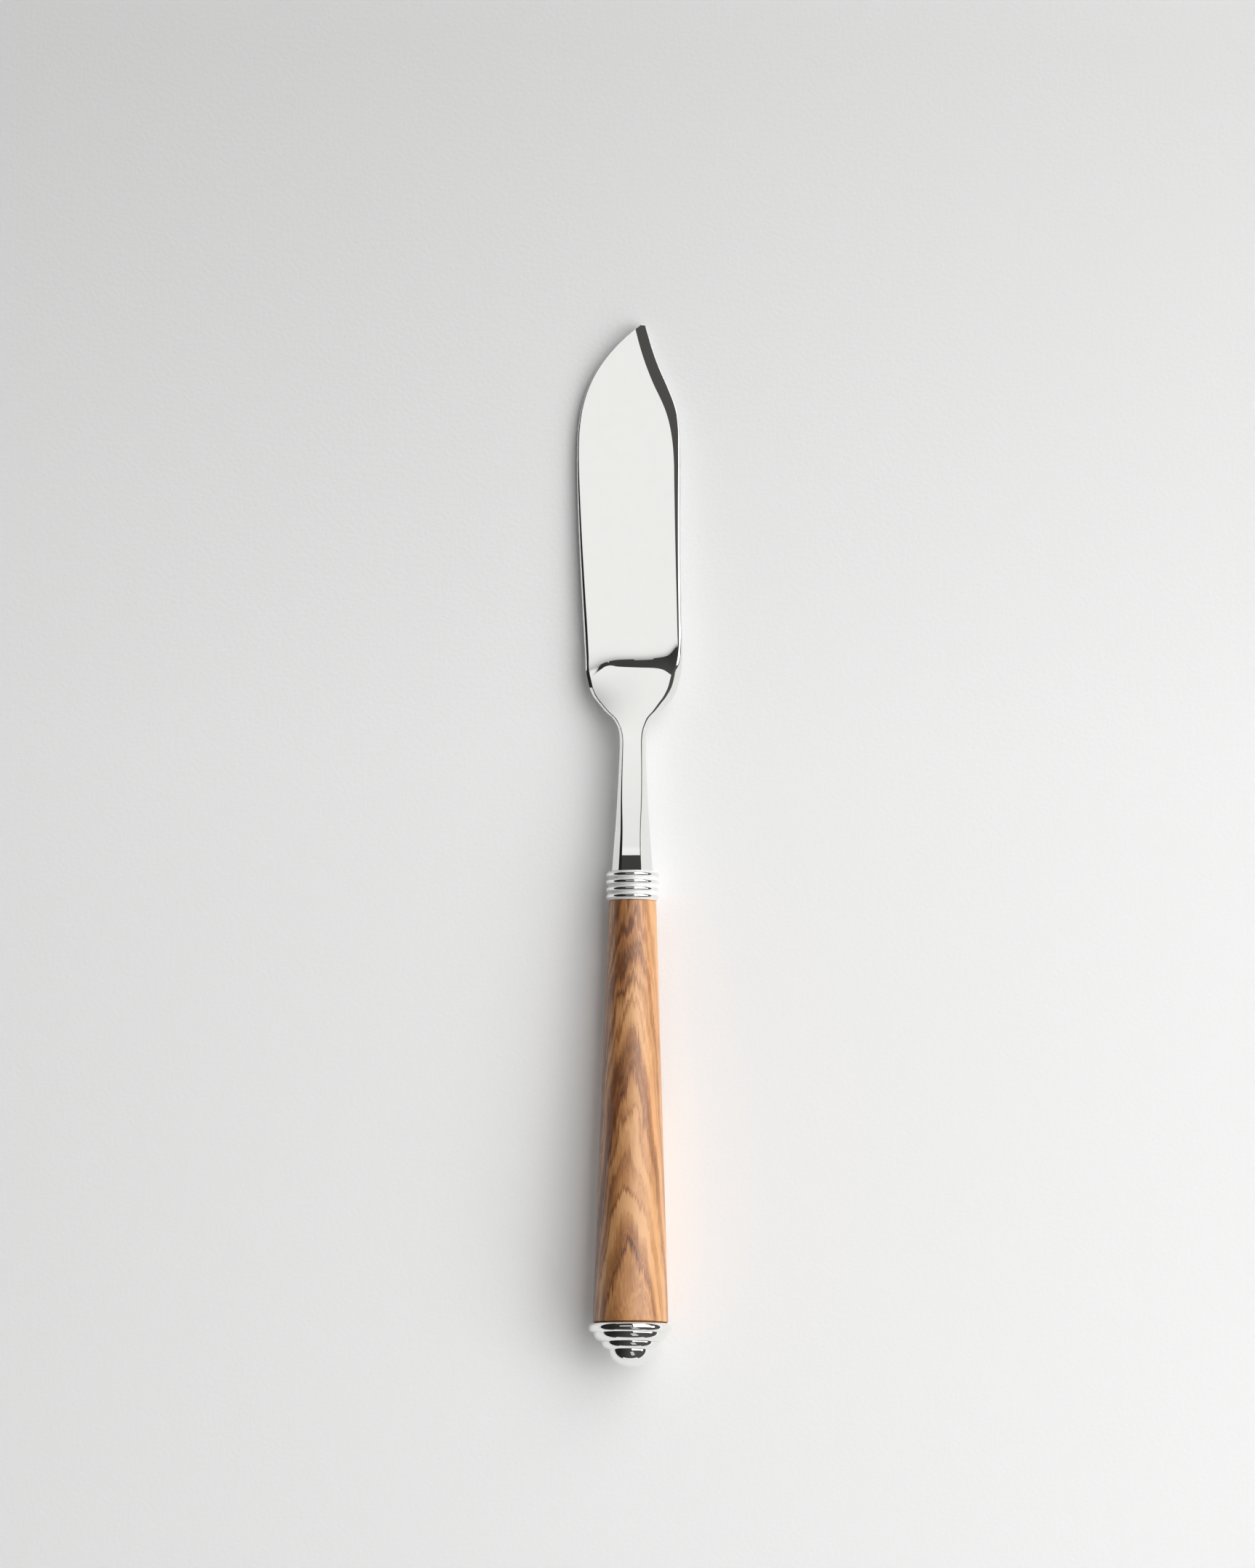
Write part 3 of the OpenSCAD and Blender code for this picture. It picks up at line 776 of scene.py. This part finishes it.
def olive_wood():
    mat, tree, shader = node_material("olive_wood")
    where = knife_coordinates(tree)
    split = add(tree, "ShaderNodeSeparateXYZ", {0: where})
    x, y, z = split.outputs[0], split.outputs[1], split.outputs[2]

    aside = math_node(tree, "ADD", x, BOWL_ASIDE)
    bowl = math_node(tree, "MULTIPLY", math_node(tree, "MULTIPLY", aside, aside), LAYER_BOWL)
    layer = math_node(tree, "SUBTRACT", z, math_node(tree, "MULTIPLY", y, LAYER_TILT))
    layer = math_node(tree, "SUBTRACT", layer, bowl)
    bend = long_noise(tree, where, 0.13, 0.03, 2.0)
    flame = long_noise(tree, where, 0.5, 0.07, 2.0)
    feather = long_noise(tree, where, 2.8, 0.07, 3.0, 0.65)
    layer = swayed(tree, layer, bend, 2.4)
    layer = swayed(tree, layer, flame, 0.6)
    layer = swayed(tree, layer, feather, 0.75)

    # Darker late wood in each year's layer: stronger in some layers, and painted fainter on the
    # spine side, where the lamps' sheen pales the grain
    broad = layer_noise(tree, layer, 0.5, 0.6)
    strong = layer_noise(tree, layer, 0.8, 0.0)
    year = math_node(tree, "MULTIPLY", layer, YEARS_PER_MM)
    year = swayed(tree, year, broad, 0.6)
    wave = math_node(tree, "SINE", math_node(tree, "MULTIPLY", year, 2 * math.pi))
    late = math_node(tree, "POWER", math_node(tree, "MULTIPLY_ADD", wave, 0.5, 0.5), 2.6)
    late = math_node(tree, "MULTIPLY", late, range_map(tree, strong, 0.36, 0.58, 0.15, 1.0))
    # Painted light: the late wood fades towards the lit spine side
    lit_side_fade = range_map(tree, x, LATE_FULL_TO, LATE_FAINT_FROM, 1.0, 0.4)
    late = math_node(tree, "MULTIPLY", late, lit_side_fade)

    # Dark to pale: the layers, thin lines in them, fibres, clouds over all, and painted light that
    # pales the spine side
    thin = layer_noise(tree, layer, 4.0, 2.0, 0.7)
    fibres = long_noise(tree, where, 6.5, 0.3, 6.0, 0.7)
    clouds = long_noise(tree, where, 0.22, 0.05, 2.0)
    tone = math_node(tree, "SUBTRACT", range_map(tree, broad, 0.33, 0.67, 0.34, 0.95),
                     math_node(tree, "MULTIPLY", late, 0.4))
    tone = swayed(tree, tone, thin, 0.1, 0.3, 0.7)
    tone = swayed(tree, tone, fibres, 0.16, 0.2, 0.8)
    tone = swayed(tree, tone, clouds, 0.13, 0.35, 0.65)
    # Painted light and shade: the wood is paler towards the lit spine side and darker towards the
    # belly side
    tone = math_node(tree, "MULTIPLY_ADD", x, 0.02, tone)
    colour = ramp(tree, tone, [
        (0.00, (0.100, 0.032, 0.012)),
        (0.20, (0.215, 0.076, 0.027)),
        (0.42, (0.430, 0.172, 0.056)),
        (0.64, (0.650, 0.295, 0.104)),
        (0.92, (0.850, 0.450, 0.190)),
    ])
    fill(tree, shader, {
        "Base Color": colour,
        "Roughness": range_map(tree, fibres, 0.2, 0.8, 0.34, 0.46),
        "Specular IOR Level": 0.9,
        "Coat Weight": 0.35,
        "Coat Roughness": 0.3,
    })
    bumps(tree, shader, fibres, 0.25, WOOD_BUMPS)
    return mat


def plain_material(name, low, high, rough, metallic=0.0):
    """A hidden or small piece: two tones mixed by noise, with a fine uneven surface."""
    mat, tree, shader = node_material(name)
    where = knife_coordinates(tree)
    cloud = add(tree, "ShaderNodeTexNoise", {"Vector": where, "Scale": 1.5, "Detail": 4.0})
    fill(tree, shader, {
        "Base Color": ramp(tree, cloud.outputs[0], [(0.3, low), (0.7, high)]),
        "Metallic": metallic,
        "Roughness": range_map(tree, cloud.outputs[0], 0.3, 0.7, rough, rough + 0.12),
    })
    bumps(tree, shader, cloud.outputs[0], 0.2, PLAIN_BUMPS)
    return mat


# Where the table's painted shade and painted light change, in metres
DIM_FROM = 0.02
PAPER_END = 0.17
PAPER_SIDE = 0.14


def table_material():
    """Fine-grained pale paper, with painted shade that makes it a little darker towards the far
    end.

    The camera and the metal also see a painted glow on it, an emission that makes it somewhat paler
    than the light makes it: most at the near right, and not at all at the far end."""
    mat, tree, shader = node_material("table")
    where = add(tree, "ShaderNodeTexCoord").outputs["Object"]
    split = add(tree, "ShaderNodeSeparateXYZ", {0: where})
    x, y = split.outputs[0], split.outputs[1]
    cloud = add(tree, "ShaderNodeTexNoise", {"Vector": where, "Scale": 3.0, "Detail": 3.0})
    paper = range_map(tree, cloud.outputs[0], 0.3, 0.7, 0.885, 0.90)
    # Painted shade: the paper's colour darkens towards the far end
    far_painted_shade = range_map(tree, y, DIM_FROM, PAPER_END, 1.0, 0.86)
    # Painted light: an emission that only camera and glossy rays see, paler towards the near right
    along = range_map(tree, y, PAPER_END, -PAPER_END, 0.0, 0.14)
    across = range_map(tree, x, -PAPER_SIDE, PAPER_SIDE, 0.86, 1.14)
    path = add(tree, "ShaderNodeLightPath")
    seen = math_node(tree, "MAXIMUM", path.outputs["Is Camera Ray"], path.outputs["Is Glossy Ray"])
    painted_glow = math_node(tree, "MULTIPLY", math_node(tree, "MULTIPLY", along, across), seen)
    fill(tree, shader, {
        "Base Color": math_node(tree, "MULTIPLY", paper, far_painted_shade),
        "Roughness": 0.85,
        "Specular IOR Level": 0.2,
        "Emission Color": (1.0, 1.0, 1.0, 1.0),
        "Emission Strength": painted_glow,
    })
    grain = add(tree, "ShaderNodeTexNoise",
                {"Vector": where, "Scale": 1100.0, "Detail": 5.0, "Roughness": 0.6})
    bumps(tree, shader, grain.outputs[0], 0.5, PAPER_BUMPS)
    return mat


# The pieces: those with a finer mesh than the solid's, and those that only get a material
STEEL = (0.92, 0.92, 0.90)
SILVER = (0.95, 0.95, 0.93)
BEAD_MATT_DEEP = 0.1
steel = metal("polished_steel", STEEL, 0.012, 0.025, 0.012)
silver = metal("bright_silver", SILVER, 0.02, 0.04, 0.03)
bead_silver = metal("bead_silver", SILVER, 0.02, 0.04, 0.03, BEAD_D / 2 - BEAD_MATT_DEEP)
wood = olive_wood()
seal = plain_material("dark_seal", (0.02, 0.015, 0.012), (0.05, 0.04, 0.03), 0.7)
rod_steel = plain_material("rod_steel", (0.42, 0.42, 0.43), (0.55, 0.55, 0.56), 0.3, 1.0)
resin = plain_material("resin", (0.5, 0.36, 0.16), (0.62, 0.48, 0.25), 0.25)

blade = build_blade(steel)
ferrule = turned("silver_ferrule", ferrule_outline(), bead_silver, FERRULE_AROUND)
handle = turned("wood_grip", handle_outline(), wood, HANDLE_AROUND)
pommel = turned("silver_pommel", pommel_outline(), silver, POMMEL_AROUND)
for piece, node, slot in (
    (blade, "blade", "polished_steel"),
    (ferrule, "ferrule", "bright_fittings"),
    (handle, "handle", "olive_wood"),
    (pommel, "pommel", "bright_fittings"),
):
    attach(piece, "root")
    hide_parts(node)

for node, material in (("pommel_seal", seal), ("tang_rod", rod_steel), ("tang_bedding", resin),
                       ("tang_washer", rod_steel), ("tang_nut", rod_steel)):
    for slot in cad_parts[node].material_slots:
        slot.material = material

# The table, in metres
TABLE_HALF = 3.0
floor_mesh = bpy.data.meshes.new("table")
floor_mesh.from_pydata(
    [(x * TABLE_HALF, y * TABLE_HALF, 0) for x, y in ((-1, -1), (1, -1), (1, 1), (-1, 1))],
    [], [(0, 1, 2, 3)],
)
floor_mesh.materials.append(table_material())
floor = bpy.data.objects.new("table", floor_mesh)
bpy.context.scene.collection.objects.link(floor)


# Light
ALONG_X = (1, 0, 0)
ALONG_Y = (0, 1, 0)


def panel(name, middle, facing, along, size_along, size_across, radiance):
    """A flat lamp of even brightness: facing is the way it shines, along is its long side."""
    data = bpy.data.lights.new(name, "AREA")
    data.shape = "RECTANGLE"
    data.size = size_along
    data.size_y = size_across
    data.energy = radiance * math.pi * size_along * size_across
    obj = bpy.data.objects.new(name, data)
    back = -Vector(facing).normalized()
    side = Vector(along).normalized()
    across = back.cross(side)
    obj.matrix_world = Matrix.Translation(Vector(middle)) @ Matrix(
        (side, across, back)).transposed().to_4x4()
    obj.visible_camera = False
    bpy.context.scene.collection.objects.link(obj)
    return obj


def fade_away(lamp, stops):
    """Gives a lamp a brightness that follows y in metres, from stops of y and brightness."""
    lamp.data.use_nodes = True
    tree = lamp.data.node_tree
    place = add(tree, "ShaderNodeNewGeometry").outputs["Position"]
    split = add(tree, "ShaderNodeSeparateXYZ", {0: place})
    low, far = stops[0][0], stops[-1][0]
    share = range_map(tree, split.outputs[1], low, far, 0.0, 1.0)
    grey = ramp(tree, share, [((y - low) / (far - low), (v, v, v)) for y, v in stops])
    fill(tree, tree.nodes["Emission"], {"Color": grey})


def leaning(name, near, far, span, radiance):
    """A panel between two lines along Y, each given by its x and z, facing the knife."""
    lean = Vector((far[0] - near[0], 0, far[1] - near[1]))
    middle = Vector(((near[0] + far[0]) / 2, (span[0] + span[1]) / 2, (near[1] + far[1]) / 2))
    return panel(name, middle, (lean.z, 0, -lean.x), ALONG_Y, span[1] - span[0], lean.length,
                 radiance)


def aimed(name, middle, along, size_along, size_across, radiance):
    """A panel that faces the middle of the table."""
    return panel(name, middle, -Vector(middle), along, size_along, size_across, radiance)


# Places and sizes of the lamps, in metres. To the right a soft panel leans over the knife, and a
# narrower strip carries on from its lower edge
SOFT_TOP = (0.14, 1.0)
SOFT_FOOT = (0.95, 0.57)
STRIP_FOOT = (1.2, 0.437)
SOFT_SPAN = (-0.22, 1.5)
STRIP_SPAN = (-0.3, 0.25)
SOFT_RADIANCE = 2.2
leaning("soft_panel", SOFT_TOP, SOFT_FOOT, SOFT_SPAN, SOFT_RADIANCE)
leaning("soft_strip", SOFT_FOOT, STRIP_FOOT, STRIP_SPAN, SOFT_RADIANCE)

# High up on the left, beyond the tip, one hangs level and is dimmer towards its far end
HIGH_AT = (-1.0, 1.0, 4.0)
HIGH_W = 2.7
HIGH_DEEP = 1.4
HIGH_RADIANCE = 1.0
HIGH_FADE = [(0.30, 0.85), (0.45, 0.88), (0.72, 0.86), (0.95, 0.80), (1.12, 0.70), (1.30, 0.54),
             (1.46, 0.40), (1.70, 0.27)]
high = panel("high_panel", HIGH_AT, (0, 0, -1), ALONG_X, HIGH_W, HIGH_DEEP, HIGH_RADIANCE)
fade_away(high, HIGH_FADE)

# Two low ones stand past the ends, and a small one leans in from the near side
LOW_AWAY = 2.4
LOW_H = 0.27
LOW_W = 2.4
LOW_TALL = 0.5
LOW_RADIANCE = 0.85
for side, name in ((-1, "low_panel_near"), (1, "low_panel_far")):
    panel(name, (0, side * LOW_AWAY, LOW_H), (0, -side, 0), ALONG_X, LOW_W, LOW_TALL, LOW_RADIANCE)
NEAR_AT = (0.4, -1.35, 1.7)
NEAR_W = 0.62
NEAR_TALL = 1.25
NEAR_RADIANCE = 0.5
aimed("near_panel", NEAR_AT, (1, 0.3, 0), NEAR_W, NEAR_TALL, NEAR_RADIANCE)

# A wide one on the near right and a faint one overhead light the surfaces, and no metal shows them
WIDE_AT = (1.9, -1.0, 1.35)
WIDE_W = 2.2
WIDE_TALL = 1.6
WIDE_RADIANCE = 2.3
OVERHEAD_AT = (-0.9, 0, 3.0)
OVERHEAD_W = 4.0
OVERHEAD_RADIANCE = 0.05
wide = aimed("wide_panel", WIDE_AT, (0.5, 0.87, 0), WIDE_W, WIDE_TALL, WIDE_RADIANCE)
overhead = aimed("overhead_panel", OVERHEAD_AT, ALONG_Y, OVERHEAD_W, OVERHEAD_W, OVERHEAD_RADIANCE)
for lamp in (wide, overhead):
    lamp.visible_glossy = False

# The room: dark on the belly side, a little less dark on the spine side
world = bpy.data.worlds.new("room")
world.use_nodes = True
room = world.node_tree
way = add(room, "ShaderNodeTexCoord").outputs["Generated"]
way = add(room, "ShaderNodeSeparateXYZ", {0: way})
dim = ramp(room, range_map(room, way.outputs[0], -0.8, 0.4, 0.0, 1.0), [
    (0.0, (0.018, 0.018, 0.018)),
    (0.35, (0.04, 0.04, 0.038)),
    (0.6, (0.06, 0.059, 0.056)),
    (1.0, (0.08, 0.078, 0.075)),
])
fill(room, room.nodes["Background"], {"Color": dim, "Strength": 1.0})
bpy.context.scene.world = world
bpy.context.scene.view_settings.view_transform = "Standard"

# The camera looks down at the photograph's angle. Places and lengths are in metres, but the
# sensor's height and the lens are in millimetres
TARGET = Vector((-0.000265, 0.012554, 0.008))
DISTANCE = 3.0
VIEW_HEIGHT = 0.329915
ELEVATION = math.radians(87.0)
TWIST = math.radians(0.284)
SENSOR = 24.0
CLIP_END = 50.0

camera_data = bpy.data.cameras.new("camera")
camera_data.sensor_fit = "VERTICAL"
camera_data.sensor_height = SENSOR
camera_data.lens = SENSOR * DISTANCE / VIEW_HEIGHT
camera_data.clip_end = CLIP_END
camera = bpy.data.objects.new("camera", camera_data)
away = Vector((0, -math.cos(ELEVATION), math.sin(ELEVATION)))
upward = Vector((0, math.sin(ELEVATION), math.cos(ELEVATION)))
camera.location = TARGET + away * DISTANCE
camera.matrix_world = (
    Matrix.Translation(camera.location)
    @ Matrix((upward.cross(away), upward, away)).transposed().to_4x4()
    @ Matrix.Rotation(TWIST, 4, "Z")
)
bpy.context.scene.collection.objects.link(camera)
bpy.context.scene.camera = camera
